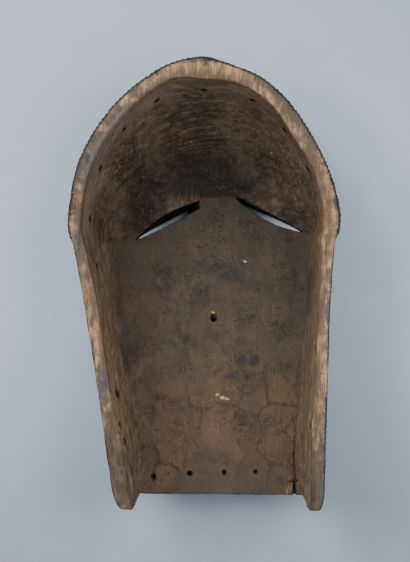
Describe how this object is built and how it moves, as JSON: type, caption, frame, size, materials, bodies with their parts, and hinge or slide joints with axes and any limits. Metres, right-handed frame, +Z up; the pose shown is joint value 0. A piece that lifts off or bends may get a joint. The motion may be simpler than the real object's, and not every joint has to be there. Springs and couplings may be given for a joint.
{
  "type": "songye kifwebe mask",
  "caption": "Hollow carved wooden face mask with a domed forehead, slanting seeing slits, long nose, box mouth and a level back rim pierced for lacing.",
  "frame": {"origin": "bottom centre of the bounding box, on the plane that the mask rests on with its face down", "axes": "+Y runs from the chin to the crown, +Z points up out of the hollow, +X is to the right looking into the hollow"},
  "size_m": [0.2733, 0.4542, 0.178],
  "materials": {
    "wood": "dry hand-adzed wood, dark brown and worn, with a paler tan rim and near-black striated outside"
  },
  "bodies": {
    "root": {"carved_mask": "wood"}
  },
  "joints": []
}
